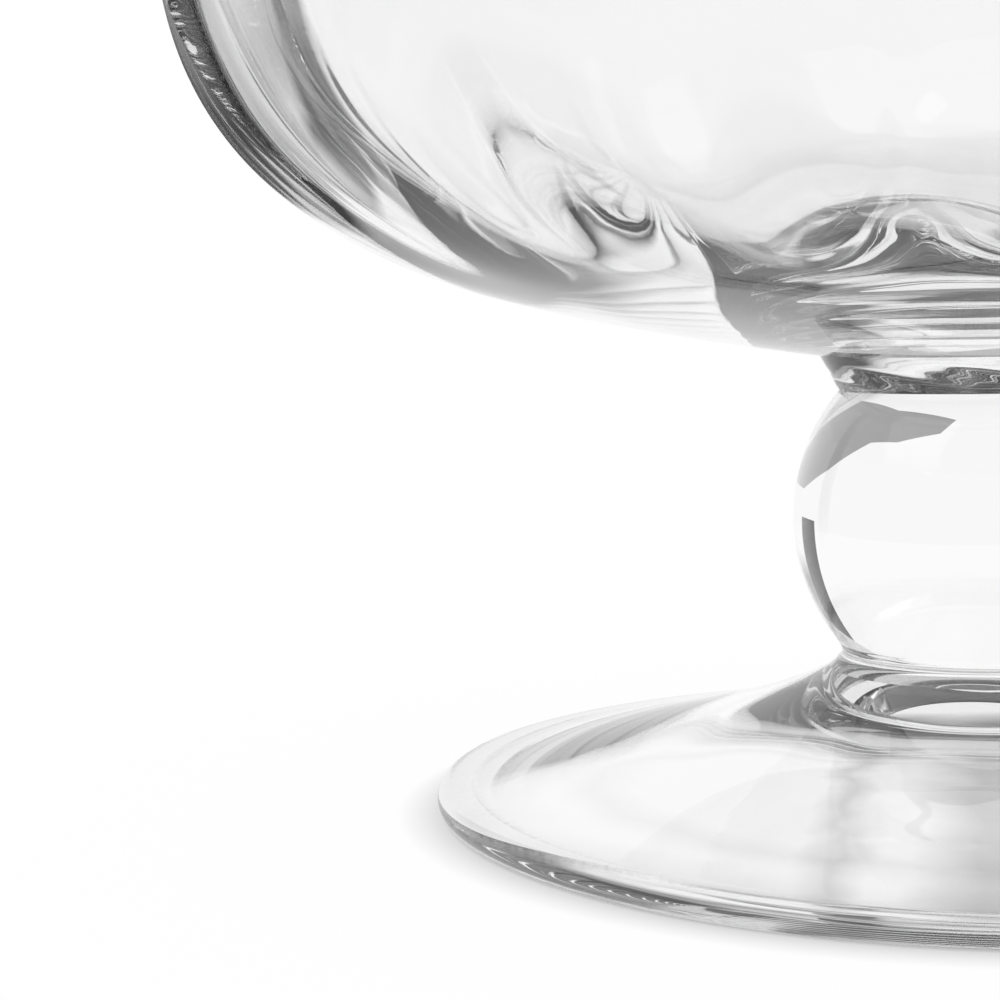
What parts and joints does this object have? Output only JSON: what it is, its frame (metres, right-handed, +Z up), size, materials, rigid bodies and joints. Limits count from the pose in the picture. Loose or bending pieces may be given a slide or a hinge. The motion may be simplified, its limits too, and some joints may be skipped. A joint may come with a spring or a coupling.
{
  "type": "trifle bowl",
  "caption": "Footed clear glass trifle bowl: a deep, softly ribbed bowl with a raised floor on a ball knop with collars, standing on a hollow spread foot.",
  "frame": {"origin": "centre of the circle that the foot stands on, on the table", "axes": "+Z up along the bowl's axis; -Y is the side that the picture is taken from; +X is to the right in the picture"},
  "size_m": [0.22, 0.22, 0.19],
  "materials": {
    "clear_glass": "clear, colourless, fire-polished"
  },
  "bodies": {
    "root": {"bowl": "clear_glass", "upper_collar": "clear_glass", "knop": "clear_glass", "lower_collar": "clear_glass", "foot": "clear_glass"}
  },
  "joints": []
}
